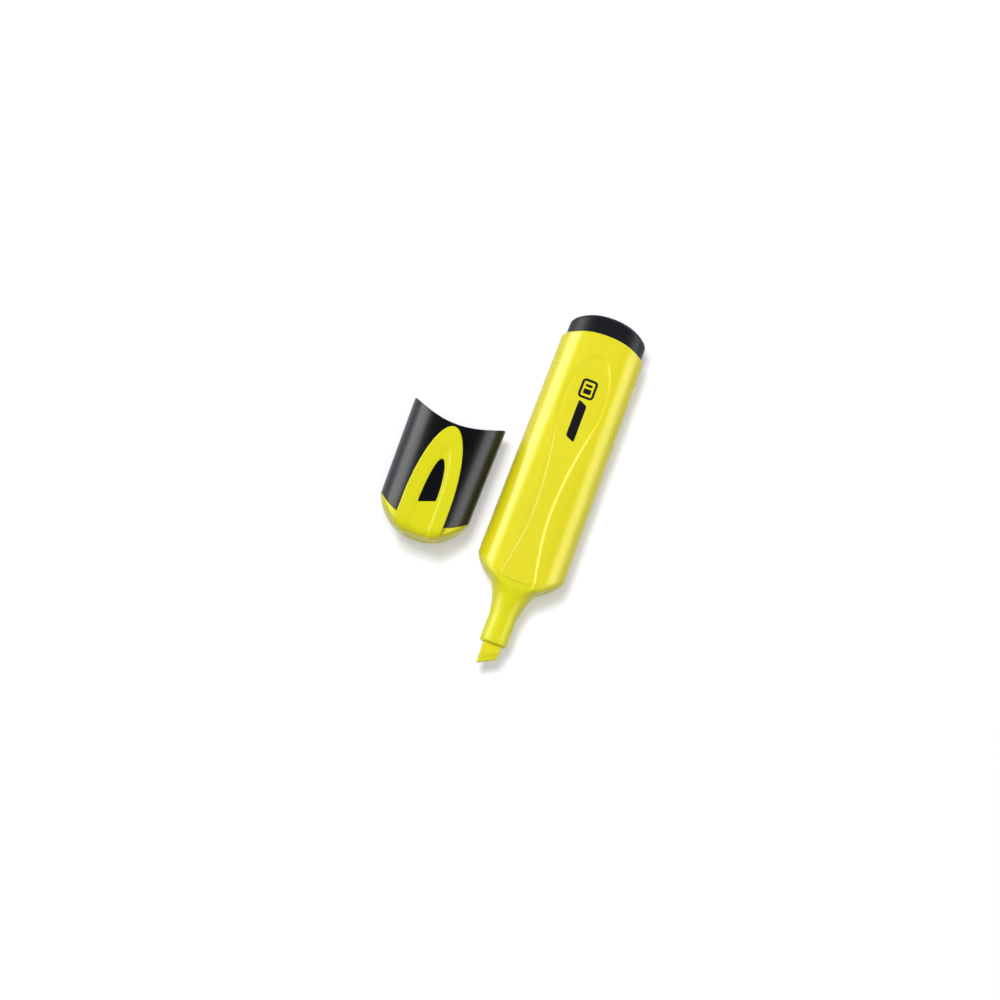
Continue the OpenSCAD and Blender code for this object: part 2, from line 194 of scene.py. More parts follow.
# ---------------------------------------------------------------------------------------------
# Meshes
# ---------------------------------------------------------------------------------------------

class Net:
    """Points and faces of one piece, gathered from rows of points."""

    def __init__(self):
        self.points, self.faces, self.count = [], [], 0

    def rows(self, rows, closed=True):
        """Adds rows of equally many points, joined by four-sided faces."""
        rows = np.asarray(rows, float)
        count, length = rows.shape[:2]
        index = self.count + np.arange(count * length).reshape(count, length)
        if closed:
            index = np.column_stack([index, index[:, 0]])
        quads = np.stack([index[:-1, :-1], index[1:, :-1], index[1:, 1:], index[:-1, 1:]], -1)
        self.faces.extend(quads.reshape(-1, 4).tolist())
        self.points.append(rows.reshape(-1, 3))
        self.count += count * length

    def face(self, loop):
        """Adds one flat face round a loop of points."""
        self.faces.append(list(range(self.count, self.count + len(loop))))
        self.points.append(np.asarray(loop, float))
        self.count += len(loop)

    def piece(self, name, origin, material, slot, sharp=40):
        """Makes the mesh object, moved so that its own zero lies at origin."""
        points = (np.concatenate(self.points) + np.array(origin)) * MM
        mesh = bpy.data.meshes.new(name)
        mesh.from_pydata(points.tolist(), [], self.faces)
        shape = bmesh.new()
        shape.from_mesh(mesh)
        bmesh.ops.remove_doubles(shape, verts=shape.verts, dist=2e-6)
        bmesh.ops.dissolve_degenerate(shape, edges=shape.edges, dist=1e-7)
        bmesh.ops.recalc_face_normals(shape, faces=shape.faces)
        shape.to_mesh(mesh)
        shape.free()
        mesh.shade_smooth()
        mesh.set_sharp_from_angle(angle=math.radians(sharp))
        mesh.materials.append(material)
        piece = bpy.data.objects.new(name, mesh)
        bpy.context.scene.collection.objects.link(piece)
        return piece


# ---------------------------------------------------------------------------------------------
# Materials
# ---------------------------------------------------------------------------------------------

class Value:
    """A socket that gives numbers; sums, differences and products of it add Math nodes."""

    def __init__(self, shader, socket):
        self.shader, self.socket = shader, socket

    def math(self, operation, *inputs):
        links = dict(enumerate(inputs))
        return self.shader.node("ShaderNodeMath", {"operation": operation}, links)

    def __add__(self, other):
        return self.math("ADD", self, other)

    def __sub__(self, other):
        return self.math("SUBTRACT", self, other)

    def __rsub__(self, other):
        return self.math("SUBTRACT", other, self)

    def __mul__(self, other):
        return self.math("MULTIPLY", self, other)

    __radd__ = __add__
    __rmul__ = __mul__


class Shader:
    """A material and the one method that adds nodes to it."""

    def __init__(self, name, data=None):
        self.data = data or bpy.data.materials.new(name)
        self.data.use_nodes = True
        self.tree = self.data.node_tree
        self.tree.nodes.clear()

    def node(self, kind, settings, inputs, out=0):
        """Adds a node of a kind: its settings first, then its inputs; gives its output."""
        node = self.tree.nodes.new(kind)
        for key, value in settings.items():
            if key == "stops":
                for stop, (position, level) in zip(node.color_ramp.elements, value):
                    stop.position, stop.color = position, (level, level, level, 1)
            else:
                setattr(node, key, value)
        for key, value in inputs.items():
            if isinstance(value, Value):
                self.tree.links.new(value.socket, node.inputs[key])
            else:
                node.inputs[key].default_value = value
        return Value(self, node.outputs[out]) if len(node.outputs) else node

    def place(self, scale=(1, 1, 1)):
        """The piece's own coordinates, in metres, stretched by scale."""
        here = self.node("ShaderNodeTexCoord", {}, {}, "Object")
        return self.node("ShaderNodeVectorMath", {"operation": "MULTIPLY"}, {0: here, 1: scale})

    def noise(self, place, scale, detail=3.0, roughness=0.5):
        return self.node("ShaderNodeTexNoise", {}, {
            "Vector": place, "Scale": scale, "Detail": detail, "Roughness": roughness}, "Fac")

    def ramp(self, value, *stops):
        return self.node("ShaderNodeValToRGB", {"stops": stops}, {"Fac": value})

    def mix(self, share, a, b):
        """Colour a where share is 0, and b where it is 1."""
        return self.node("ShaderNodeMix", {"data_type": "RGBA"}, {0: share, 6: a, 7: b}, 2)

    def bump(self, height, depth, strength=1.0):
        """Normal of a surface whose relief is height times depth, in metres."""
        return self.node("ShaderNodeBump", {}, {
            "Height": height, "Distance": depth, "Strength": strength})

    def seen_white(self):
        """1 where the camera sees the surface, straight, mirrored or through glass."""
        path = self.tree.nodes.new("ShaderNodeLightPath")
        camera, mirror, glass = [Value(self, path.outputs[name]) for name in
                                 ("Is Camera Ray", "Is Glossy Ray", "Is Transmission Ray")]
        direct = camera.math("MAXIMUM", camera, mirror)
        return direct.math("MAXIMUM", direct, glass)

    def surface(self, inputs):
        """Ends the material in a Principled surface and gives the material."""
        body = self.node("ShaderNodeBsdfPrincipled", {}, inputs)
        self.node("ShaderNodeOutputMaterial", {}, {"Surface": body})
        return self.data


def moulded_plastic(name, colour, deep, roughness, specular, coat):
    """Smooth moulded plastic: faint flow clouds, a fine orange peel and hairline scuffs."""
    m = Shader(name)
    here = m.place()
    clouds = m.noise(here, 45)
    peel = m.noise(here, 1400, 2)
    hairs = m.ramp(m.noise(m.place((0.12, 1, 1)), 2600, 4), (0.62, 0), (0.72, 1))
    patches = m.ramp(m.noise(here, 110, 2), (0.45, 0), (0.6, 1))
    scuffs = hairs * patches
    return m.surface({
        "Base Color": m.mix(m.ramp(clouds, (0.35, 0), (0.65, 1)), colour, deep),
        "Roughness": clouds * 0.08 + scuffs * 0.05 + (roughness - 0.04),
        "Specular IOR Level": specular,
        "Coat Weight": coat,
        "Coat Roughness": 0.12,
        "Normal": m.bump(peel - scuffs * 0.2, 0.000004, 0.5)})


def fibre(name, colour, deep, scale, depth, roughness):
    """Bonded fibre: strands along X, darker where their relief is low: the ink's own streaks, and
    painted shade in the hollow between strands.
    """
    m = Shader(name)
    strands = m.noise(m.place((0.1, 1, 1)), scale, 4, 0.6)
    flecks = m.noise(m.place((0.5, 1, 1)), scale * 0.6, 2)
    # darker colour where the relief is low: the ink's own streaks, and painted shade in the
    # hollow between strands
    ink_streaks_and_gap_shade = m.ramp(strands, (0.38, 0), (0.6, 1))
    return m.surface({
        "Base Color": m.mix(ink_streaks_and_gap_shade, deep, colour),
        "Roughness": flecks * 0.15 + roughness,
        "Specular IOR Level": 0.25,
        "Sheen Weight": 0.15,
        "Normal": m.bump(strands + flecks * 0.5, depth, 0.6)})


barrel_plastic = moulded_plastic(
    "yellow_barrel_plastic", (0.85, 0.765, 0.007, 1), (0.82, 0.75, 0.003, 1), 0.27, 0.42, 0.0)
nose_plastic = moulded_plastic(
    "yellow_nose_plastic", (0.79, 0.765, 0.003, 1), (0.77, 0.74, 0.002, 1), 0.36, 0.25, 0.0)
clip_plastic = moulded_plastic(
    "yellow_clip_plastic", (0.76, 0.735, 0.003, 1), (0.74, 0.715, 0.002, 1), 0.34, 0.18, 0.0)
cap_plastic = moulded_plastic(
    "black_cap_plastic", (0.002, 0.0025, 0.0035, 1), (0.003, 0.0035, 0.005, 1), 0.31, 0.3, 0.0)
plug_plastic = moulded_plastic(
    "black_plug_plastic", (0.006, 0.007, 0.009, 1), (0.008, 0.009, 0.012, 1), 0.4, 0.2, 0.0)
nib_felt = fibre(
    "inked_felt", (0.80, 0.76, 0.0035, 1), (0.72, 0.67, 0.002, 1), 5200, 0.000006, 0.62)
core_fibre = fibre(
    "reservoir_fibre", (0.78, 0.78, 0.10, 1), (0.55, 0.54, 0.04, 1), 1600, 0.00008, 0.75)
sleeve_film = moulded_plastic(
    "milky_film", (0.88, 0.88, 0.80, 1), (0.82, 0.82, 0.74, 1), 0.45, 0.5, 0.0)
seal_plastic = moulded_plastic(
    "natural_seal_plastic", (0.80, 0.80, 0.76, 1), (0.76, 0.76, 0.71, 1), 0.5, 0.45, 0.0)
print_ink = moulded_plastic(
    "black_print", (0.004, 0.0035, 0.003, 1), (0.007, 0.006, 0.005, 1), 0.5, 0.15, 0.0)


# ---------------------------------------------------------------------------------------------
# Grip panel: how deep each wide face of the pen is sunk at a place
# ---------------------------------------------------------------------------------------------

def panel_side():
    """One side of the panel's outline, from its top to past the front edge."""
    neck, skirt = WAIST_X - LOBE_X, FLARE_X - WAIST_X
    setback = LOBE_X - PANEL_TOP
    lobe = bezier((PANEL_TOP, 0), (PANEL_TOP, 0.55 * LOBE_HALF),
                  (LOBE_X - 0.55 * setback, LOBE_HALF), (LOBE_X, LOBE_HALF), 40)
    waist = bezier((LOBE_X, LOBE_HALF), (LOBE_X + 0.19 * neck, LOBE_HALF),
                   (WAIST_X - 0.53 * neck, WAIST_HALF), (WAIST_X, WAIST_HALF), 40)
    flare = bezier((WAIST_X, WAIST_HALF), (WAIST_X + 0.32 * skirt, WAIST_HALF),
                   (FLARE_X - 0.37 * skirt, (WAIST_HALF + FLARE_HALF) / 2),
                   (FLARE_X, FLARE_HALF), 30)
    return np.concatenate([lobe, waist[1:], flare[1:], [[FLARE_X + 20, FLARE_HALF + 4]]])


PANEL_SIDE = panel_side()


def panel_half(x):
    """Half width of the panel at x; 0 behind its top."""
    return np.interp(x, PANEL_SIDE[:, 0], PANEL_SIDE[:, 1], left=0)


def sunk(x, y):
    """Depth of the panel at each point, with eased walls that are widest round its top."""
    x, y = np.broadcast_arrays(x, y)
    wall = PANEL_WALL + TOP_WALL * (1 - smooth((x - PANEL_TOP) / 5.5))
    share = np.clip(inside(PANEL_SIDE, x, y) / wall, 0, 1)
    return PANEL_DEPTH * (share + smooth(share)) / 2


# ---------------------------------------------------------------------------------------------
# Pen
# ---------------------------------------------------------------------------------------------

SIDE_TURN = math.radians(60)                 # where the rounded sides leave the wide faces


def face_columns(x, half, rounding):
    """Places across one wide face, close together along the panel's walls."""
    edge = half - rounding + rounding * math.cos(SIDE_TURN)
    outline = max(panel_half(x), 2.4)
    spans = [(0, outline - 1.5, 12), (outline - 1.5, outline + 0.1, 9), (outline + 0.1, edge, 14)]
    right = np.concatenate([np.linspace(a, b, n + 1)[:-1] for a, b, n in spans] + [[edge]])
    return np.concatenate([right[::-1], -right[1:]])


def pen_section(x, half, inset):
    """Points (y, z) round the pen, and how far each one's place is on a wide face."""
    rounding = FRONT_HALF - FLAT_HALF - inset
    half, thick = half - inset, PEN_THICK - inset
    flat = half - rounding
    y = face_columns(x, half, rounding)
    z = thick * np.sqrt(1 - (np.clip(np.abs(y) - flat, 0, None) / rounding) ** 2)
    turn = np.linspace(-SIDE_TURN, SIDE_TURN, 23)[1:-1]
    side = np.stack([flat + rounding * np.cos(turn), thick * np.sin(turn)], 1)
    face = np.stack([y, z], 1)
    yz = np.concatenate([side, face, side * (-1, -1), face * (-1, -1)])
    on_face = np.concatenate([np.zeros(len(side)), np.ones(len(face))] * 2)
    return yz, on_face


def rear_edge(y):
    return REAR_X - arc(y, REAR_HALF, REAR_BULGE)


def front_edge(y):
    return FRONT_X + arc(y, FRONT_HALF, FRONT_BULGE)


def pen_ring(share, offset, inset):
    """Ring of the barrel at a share of its length, moved along X by offset."""
    half = REAR_HALF + (FRONT_HALF - REAR_HALF) * share
    middle = rear_edge(0) * (1 - share) + front_edge(0) * share + offset
    yz, on_face = pen_section(middle, half, inset)
    y, z = yz[:, 0], yz[:, 1]
    x = rear_edge(y) * (1 - share) + front_edge(y) * share + offset
    depth = sunk(x, y) * on_face
    return np.stack([x, y, z - np.sign(z) * depth], 1)


def barrel():
    """Tube with a bulged edge at each end and a sunk grip panel on each wide face."""
    length = front_edge(0) - rear_edge(0)
    rear_round, front_round = 0.45, 0.12
    fine = np.arange(rear_round, 12, 0.28)
    coarse = np.linspace(12.3, length - front_round, 150)
    net = Net()
    rows = [pen_ring(0, 3, BARREL_WALL), pen_ring(0, 0, BARREL_WALL)]
    rows += [pen_ring(0, back, inset) for back, inset in fillet(rear_round)[::-1]]
    rows += [pen_ring(along / length, 0, 0) for along in np.concatenate([fine[1:], coarse[:-1]])]
    rows += [pen_ring(1, -back, inset) for back, inset in fillet(front_round, 4)]
    rows += [pen_ring(1, 0, BARREL_WALL), pen_ring(1, -3, BARREL_WALL)]
    net.rows(rows)
    body = net.piece("barrel_skin", (0, PEN_Y, PEN_THICK), barrel_plastic, "barrel_yellow")
    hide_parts("barrel")
    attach(body, "pen")


def nose():
    """Flare from the barrel's front edge to a round tip with a slot for the nib."""
    yz, on_face = pen_section(front_edge(0), FRONT_HALF, 0)
    y, z = yz[:, 0], yz[:, 1]
    start_x = front_edge(y) + SEAM
    rounding = FRONT_HALF - FLAT_HALF
    turn = np.arccos(np.clip((np.abs(y) - FLAT_HALF) / rounding, 0, 1)) / (math.pi / 2)
    wide = np.clip(np.abs(y) / FLAT_HALF, 0, 1)
    around = np.radians(np.where(np.abs(y) > FLAT_HALF, 67.5 * turn, 90 - 22.5 * wide))
    cy = np.cos(around) * np.sign(y)
    cz = np.sin(around) * np.sign(z)
    start = np.stack([start_x, y, z], 1)
    stop = np.stack([np.full(len(y), HOLDER_X), HOLDER_R * cy, HOLDER_R * cz], 1)
    run = (HOLDER_X - start_x)[:, None]
    along = np.array([1, 0, 0])
    leave = start * (1, FLARE_DRAWN, FLARE_DRAWN) + FLARE_LEAVE * run * along
    arrive = stop * (1, FLARE_SPREAD, FLARE_SPREAD) - FLARE_ARRIVE * run * along
    depth = sunk(start_x, y) * on_face * np.sign(z)

    def flare(t):
        u = 1 - t
        line = u**3 * start + 3 * u * u * t * leave + 3 * u * t * t * arrive + t**3 * stop
        line[:, 2] -= depth * (1 - smooth(t / 0.5))
        return line

    def collar(x, radius):
        return np.stack([np.full(len(y), x), radius * cy, radius * cz], 1)

    slot = np.stack([cy, cz], 1)
    slot /= np.max(np.abs(slot) / (NIB_HALF + 0.05, NIB_THICK + 0.05), 1)[:, None]
    seam_round, tip_round = 0.12, 0.8
    net = Net()
    rows = []
    first = flare(0)
    for back, inset in fillet(seam_round, 4)[::-1]:
        shrink = 1 - inset / np.hypot(first[:, 1], first[:, 2])[:, None]
        rows.append(first * (1, 0, 0) + first * (0, 1, 1) * shrink + along * back)
    rows.insert(0, rows[0] * (1, 0.88, 0.88))
    rows += [flare(t) for t in np.linspace(0, 1, 46)[1:]]
    rows += [collar(x, HOLDER_R) for x in np.linspace(HOLDER_X, TIP_X - tip_round, 14)[1:-1]]
    rows += [collar(TIP_X - back, HOLDER_R - inset) for back, inset in fillet(tip_round)]
    for share in (0.4, 0.8):
        inner = np.column_stack([np.full(len(y), TIP_X), slot])
        rows.append(collar(TIP_X, HOLDER_R - tip_round) * (1 - share) + inner * share)
    rows.append(np.column_stack([np.full(len(y), TIP_X - 0.1), slot]))
    rows.append(np.column_stack([np.full(len(y), TIP_X - 1.5), slot]))
    net.rows(rows)
    body = net.piece("nose_skin", (0, PEN_Y, PEN_THICK), nose_plastic, "nose_yellow")
    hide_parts("nose")
    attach(body, "pen")


def nib():
    """Felt chisel: a rounded bar with a slanted, slightly worn writing edge."""
    corner, tip_round = 0.45, 0.3
    thin, narrow = 0.75, 0.12                # what the bevels take off towards the edge

    def bar(half, thick, radius):
        turn = np.linspace(0, math.pi / 2, 6)
        side = np.stack([half - radius + radius * np.cos(turn),
                         thick - radius + radius * np.sin(turn)], 1)
        top = np.stack([np.linspace(side[-1, 0], -side[-1, 0], 15)[1:-1],
                        np.full(13, thick)], 1)
        upper = np.concatenate([side, top, side[::-1] * (-1, 1)])
        return np.concatenate([upper, upper[::-1] * (1, -1)])

    def writing_edge(y):
        slanted = nib_high[0] - (y + NIB_HALF) * NIB_SLANT
        return slanted - WORN_CORNER * (1 - smooth((y + NIB_HALF) / 0.8)) ** 2

    x0 = TIP_X - 1.4
    rows = []
    for share in np.linspace(0, 1, 26):
        bevel = smooth((share - 0.62) / 0.38)
        yz = bar(NIB_HALF - narrow * bevel, NIB_THICK - thin * bevel, corner)
        x = x0 + (writing_edge(yz[:, 0]) - tip_round - x0) * share
        rows.append(np.column_stack([x, yz]))
    for back, inset in fillet(tip_round, 4)[1:] + [(0, 0.6), (0, NIB_THICK - thin - 0.01)]:
        yz = bar(NIB_HALF - narrow - inset, NIB_THICK - thin - inset, max(corner - inset, 0.01))
        rows.append(np.column_stack([writing_edge(yz[:, 0]) - back, yz]))
    net = Net()
    net.rows(rows)
    net.face(rows[-1])
    body = net.piece("nib_felt", (0, PEN_Y, PEN_THICK), nib_felt, "nib_felt", 50)
    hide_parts("nib")
    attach(body, "pen")


def rear_plug():
    """Black plug: a set-in head with a bulged, rounded end."""
    half, thick = REAR_HALF - PLUG_INSET, PEN_THICK - PLUG_INSET
    rounding = FRONT_HALF - FLAT_HALF - PLUG_INSET
    end_round = 1.1

    def end(y):
        return PLUG_X + PLUG_BULGE - arc(y, half, PLUG_BULGE)

    def head(x_of_y, inset):
        return ring(x_of_y, half - inset, thick - inset, rounding - inset)

    rows = [head(lambda y: REAR_X + 4 + 0 * y, 0.35),
            head(lambda y: rear_edge(y) + 0.2, 0.35),
            head(lambda y: rear_edge(y) + 0.02, 0.0),
            head(lambda y: rear_edge(y) - 0.3, 0.0)]
    for share in np.linspace(0, 1, 8):
        rows.append(head(lambda y, s=share: (rear_edge(y) - 0.3) * (1 - s)
                         + (end(y) + end_round) * s, 0))
    rows += [head(lambda y, b=back: end(y) + b, inset) for back, inset in fillet(end_round)]
    rows += [head(end, inset) for inset in np.linspace(end_round, thick - 0.01, 9)[1:]]
    net = Net()
    net.rows(rows)
    body = net.piece("plug_skin", (0, PEN_Y, PEN_THICK), plug_plastic, "plug_black")
    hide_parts("rear_plug")
    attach(body, "pen")


def print_mark():
    """Generic pictogram printed on the panel's floor: a page and a highlighting stroke."""
    floor = PEN_THICK - PANEL_DEPTH + 0.02
    height = 0.03
    net = Net()

    def rounded_box(x0, x1, y0, y1, radius, slant=0.0):
        loop = []
        for cx, cy, first in ((x1, y1, 0), (x0, y1, 90), (x0, y0, 180), (x1, y0, 270)):
            for turn in np.radians(np.linspace(first, first + 90, 7)):
                sx = 1 if cx == x1 else -1
                sy = 1 if cy == y1 else -1
                y = cy - sy * radius + radius * math.sin(turn)
                loop.append((cx - sx * radius + radius * math.cos(turn) + slant * y, y))
        return np.array(loop)

    def raised(loop, z):
        return np.column_stack([loop, np.full(len(loop), z)])

    def plate(loop):
        net.rows([raised(loop, floor), raised(loop, floor + height)])
        net.face(raised(loop, floor + height))

    def outline(x0, x1, y0, y1, radius, line):
        outer = rounded_box(x0, x1, y0, y1, radius)
        inner = rounded_box(x0 + line, x1 - line, y0 + line, y1 - line, radius - line)
        net.rows([raised(outer, floor), raised(outer, floor + height),
                  raised(inner, floor + height), raised(inner, floor)])

    page = LOBE_X - 7.8
    outline(page, page + 6.2, -2.5, 2.5, 1.2, 0.75)
    plate(rounded_box(page + 1.6, page + 2.4, -1.1, 1.1, 0.3))
    plate(rounded_box(page + 3.1, page + 4.7, -1.2, 1.2, 0.3))
    plate(rounded_box(page + 7.6, page + 19.6, -1.45, 1.45, 0.6, 0.45))
    body = net.piece("panel_print", (0, PEN_Y, PEN_THICK), print_ink, "plug_black")
    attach(body, "pen")


# ---------------------------------------------------------------------------------------------
# Cap
# ---------------------------------------------------------------------------------------------

CAP_ROUND = CAP_HALF - FLAT_HALF


def cap_half_at(x):
    return CAP_HALF - (CAP_HALF - CAP_END_HALF) * (x - MOUTH_X) / (END_X + END_BULGE - MOUTH_X)


def mouth_edge(y):
    return MOUTH_X + arc(y, CAP_HALF, MOUTH_DIP)


def shell_edge(y):
    return SHELL_X + arc(y, CAP_END_HALF, SHELL_BULGE)


def end_edge(y):
    return END_X + arc(y, CAP_END_HALF, END_BULGE)


def cap_ring(x_of_y, near_x, inset):
    """Ring of the cap; near_x is its place at the cap's sides, which sets its width."""
    half = cap_half_at(near_x)
    return ring(x_of_y, half - inset, CAP_THICK - inset, CAP_ROUND - inset, quarter=30, band=20)


def cap_shell():
    """Thin black shell with a scooped mouth and a bulged edge at its other end."""
    rim, foot = 0.3, 0.2

    def along(share, inset, offset=0.0):
        return cap_ring(lambda y: mouth_edge(y) * (1 - share) + shell_edge(y) * share + offset,
                        MOUTH_X * (1 - share) + SHELL_X * share, inset)

    outer = [along(0, inset, back) for back, inset in fillet(rim)[::-1]]
    outer += [along(share, 0) for share in np.linspace(0.02, 0.98, 40)]
    outer += [along(1, inset, -back) for back, inset in fillet(foot, 4)]
    inner = [along(share, CAP_WALL) for share in np.linspace(1, 0.02, 16)]
    inner += [along(0, CAP_WALL - inset, back) for back, inset in fillet(rim)]
    net = Net()
    net.rows(outer + inner)
    body = net.piece("cap_shell_skin", (0, CAP_Y, CAP_THICK), cap_plastic, "cap_black")
    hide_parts("cap_shell")
    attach(body, "cap")


def cap_end():
    """Yellow end piece: it shows past the shell, and its spigot lines the shell inside."""
    edge_round, wall, spigot_x = 1.6, 1.5, SHELL_X - 5
    inside = CAP_WALL + 0.05
    deep = CAP_THICK - 0.02

    def at(x_of_y, inset):
        return cap_ring(x_of_y, SHELL_X, inset)

    rows = [at(lambda y: end_edge(y) - wall, inset)
            for inset in np.linspace(deep, inside + wall, 7)]
    rows += [at(lambda y: spigot_x, inside + wall),
             at(lambda y: spigot_x, inside),
             at(lambda y: shell_edge(y) - 0.1, inside),
             at(lambda y: shell_edge(y) + SEAM, 0.35)]
    rows += [at(lambda y, b=back: shell_edge(y) + SEAM + b, inset)
             for back, inset in fillet(0.15, 3)[::-1]]
    lap = np.linspace(0, 1, 10)[1:]
    rows += [at(lambda y, s=share: (shell_edge(y) + 0.2) * (1 - s)
                + np.maximum(end_edge(y) - edge_round, shell_edge(y) + 0.3) * s, 0)
             for share in lap]
    for back, inset in fillet(edge_round, 8)[1:]:
        rows.append(at(lambda y, b=back: np.maximum(end_edge(y) - b, shell_edge(y) + 0.3), inset))
    rows += [at(end_edge, inset) for inset in np.linspace(edge_round, deep, 10)[1:]]
    net = Net()
    net.rows(rows)
    body = net.piece("cap_end_skin", (0, CAP_Y, CAP_THICK), clip_plastic, "clip_yellow")
    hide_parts("cap_end")
    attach(body, "cap")


# ---------------------------------------------------------------------------------------------
# Clip: an arch with a scoop and a window, and a root that turns down over the cap's end
# ---------------------------------------------------------------------------------------------

CLIP_BEND = HINGE_X - CLIP_TIP - 1.0         # length over which the arch widens
SCOOP_X, SCOOP_HALF, SCOOP_BEND = CLIP_TIP + 6.4, CLIP_HALF - 3.3, 18.7
SCOOP_DEPTH, SCOOP_WALL, SOFT_WALL = 0.6, 0.85, 2.4
WINDOW_X, WINDOW_HALF = CLIP_TIP + 10.6, 2.6
WINDOW_SLANT = math.tan(math.radians(20))
WINDOW_FOOT = HINGE_X - 1.5 - WINDOW_HALF * WINDOW_SLANT
ROOT_ROUND = 3.5
CLIP_PROUD = WRAP_X - END_X - END_BULGE
CUT_X = HINGE_X + 0.6                        # where the arch hands over to the strap


def arch_points(tip, half, bend, turns):
    """Half an ellipse round the tip: turns run from -90 to 90 degrees."""
    return np.stack([tip + bend * (1 - np.cos(turns)), half * np.sin(turns)], 1)


def scooped(x, y):
    """Depth of the scoop between the clip's legs."""
    turns = np.linspace(0, math.pi / 2, 60)
    side = arch_points(SCOOP_X, SCOOP_HALF, SCOOP_BEND, turns)
    side = np.concatenate([side, [[HINGE_X + 30, SCOOP_HALF]]])
    x, y = np.broadcast_arrays(x, y)
    wall = SCOOP_WALL + (SOFT_WALL - SCOOP_WALL) * smooth(0.5 - y / 3)
    return SCOOP_DEPTH * smooth(inside(side, x, y) / wall)


def clip():
    """The arch is drawn as rings from its outline to the window, and the root as a strap."""
    edge_round, under_round, hole_round = 0.45, 0.15, 0.2
    thick = CLIP_Z1 - CLIP_Z0
    root_thick = thick + 0.9
    around, across, shank = 240, 80, 6
    net = Net()

    # outline: from (CUT_X, -half) round the tip to (CUT_X, half), then straight back across
    turns = np.linspace(-math.pi / 2, math.pi / 2, around + 1)
    arch = arch_points(CLIP_TIP, CLIP_HALF, CLIP_BEND, turns)
    outward = np.stack([-CLIP_HALF * np.cos(turns), CLIP_BEND * np.sin(turns)], 1)
    outward /= np.linalg.norm(outward, axis=1)[:, None]
    shank_x = np.linspace(CUT_X, CLIP_TIP + CLIP_BEND, shank)[:-1]

    def outline(inset):
        low = np.stack([shank_x, np.full(len(shank_x), inset - CLIP_HALF)], 1)
        return np.concatenate([low, arch - outward * inset, low[::-1] * (1, -1)])

    def cut(inset):
        y = np.linspace(CLIP_HALF - inset, inset - CLIP_HALF, across + 1)[1:-1]
        return np.stack([np.full(len(y), CUT_X), y], 1)

    # window: as many points round its arch as the outline has, and as many along its foot
    turns = np.linspace(-math.pi / 2, math.pi / 2, around + 1 + 2 * len(shank_x))
    hole = arch_points(WINDOW_X, WINDOW_HALF, WINDOW_FOOT - WINDOW_X, turns)
    hole[:, 0] -= smooth((hole[:, 0] - WINDOW_X) / 12) * WINDOW_SLANT * hole[:, 1]
    foot_y = np.linspace(hole[-1, 1], hole[0, 1], across + 1)[1:-1]
    foot = np.stack([WINDOW_FOOT - WINDOW_SLANT * foot_y, foot_y], 1)
    hole = np.concatenate([hole, foot])
    for _ in range(8):
        hole = (np.roll(hole, 1, 0) + 2 * hole + np.roll(hole, -1, 0)) / 4
    step = np.roll(hole, -1, 0) - np.roll(hole, 1, 0)
    away = np.stack([step[:, 1], -step[:, 0]], 1) / np.linalg.norm(step, axis=1)[:, None]
    away *= np.sign(np.sum(away * (hole - hole.mean(0))))

    def lifted(loop, height):
        return np.column_stack([loop, np.broadcast_to(height, len(loop))])

    outer = np.concatenate([outline(edge_round), cut(edge_round)])
    inner = hole + away * hole_round
    for share_a, share_b in zip(np.linspace(0, 1, 40)[:-1], np.linspace(0, 1, 40)[1:]):
        pair = [outer * (1 - share) + inner * share for share in (share_a, share_b)]
        net.rows([lifted(loop, CLIP_Z1 - scooped(loop[:, 0], loop[:, 1])) for loop in pair])
    brim = CLIP_Z1 - scooped(inner[:, 0], inner[:, 1])
    net.rows([lifted(hole + away * back, brim - inset) for back, inset in fillet(hole_round, 4)]
             + [lifted(hole, CLIP_Z0)])
    below = np.concatenate([outline(under_round), cut(under_round)])
    net.rows([lifted(below * (1 - share) + hole * share, CLIP_Z0)
              for share in np.linspace(0, 1, 6)])
    net.rows([lifted(outline(back), CLIP_Z1 - inset) for back, inset in fillet(edge_round)]
             + [lifted(outline(back), CLIP_Z0 + inset)
                for back, inset in fillet(under_round, 3)[::-1]], closed=False)

    # root: (place across, depth below the top) round the strap
    def strap(bottom):
        edge = [(back - CLIP_HALF, inset) for back, inset in fillet(edge_round)[1:]]
        edge += [(back - CLIP_HALF, bottom - inset)
                 for back, inset in fillet(under_round, 3)[::-1]]
        edge = np.array(edge)
        y = np.linspace(CLIP_HALF - edge_round, edge_round - CLIP_HALF, across + 1)
        low_y = np.linspace(under_round - CLIP_HALF, CLIP_HALF - under_round, across + 1)[1:-1]
        band = np.stack([y, scooped(CUT_X, y)], 1)
        floor = np.stack([low_y, np.full(len(low_y), bottom)], 1)
        return np.concatenate([band, edge, floor, edge[::-1] * (-1, 1)])

    rows = []
    for share in np.linspace(0, 1, 12):
        y, depth = strap(thick + (root_thick - thick) * smooth(share * 4)).T
        turn_x = end_edge(y) + CLIP_PROUD - ROOT_ROUND
        rows.append(np.stack([CUT_X + (turn_x - CUT_X) * share, y, CLIP_Z1 - depth], 1))
    y, depth = strap(root_thick).T
    turn_x = end_edge(y) + CLIP_PROUD - ROOT_ROUND
    radius = ROOT_ROUND - depth
    for turn in np.linspace(0, math.pi / 2, 16)[1:]:
        rows.append(np.stack([turn_x + radius * math.sin(turn), y,
                              CLIP_Z1 - ROOT_ROUND + radius * math.cos(turn)], 1))
    for down in np.linspace(0.4, 9.5, 16):
        sink = 1.5 * smooth((down - 5.5) / 4)
        rows.append(np.stack([turn_x + radius - sink, y,
                              np.full(len(y), CLIP_Z1 - ROOT_ROUND - down)], 1))
    net.rows(rows)
    body = net.piece("clip_skin", (0, CAP_Y, 0), clip_plastic, "clip_yellow", 35)
    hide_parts("clip")
    (HINGE_X + 0.3) * MM
    (HINGE_X - 2) * MM
    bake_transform(body)


def carried_over():
    """CAD nodes whose shape is right get their finish."""
    for node, material in (("reservoir", core_fibre), ("reservoir_film", sleeve_film),
                           ("inner_cap", seal_plastic)):
        mesh = frame["nodes"][node].data
        mesh.materials.clear()
        mesh.materials.append(material)


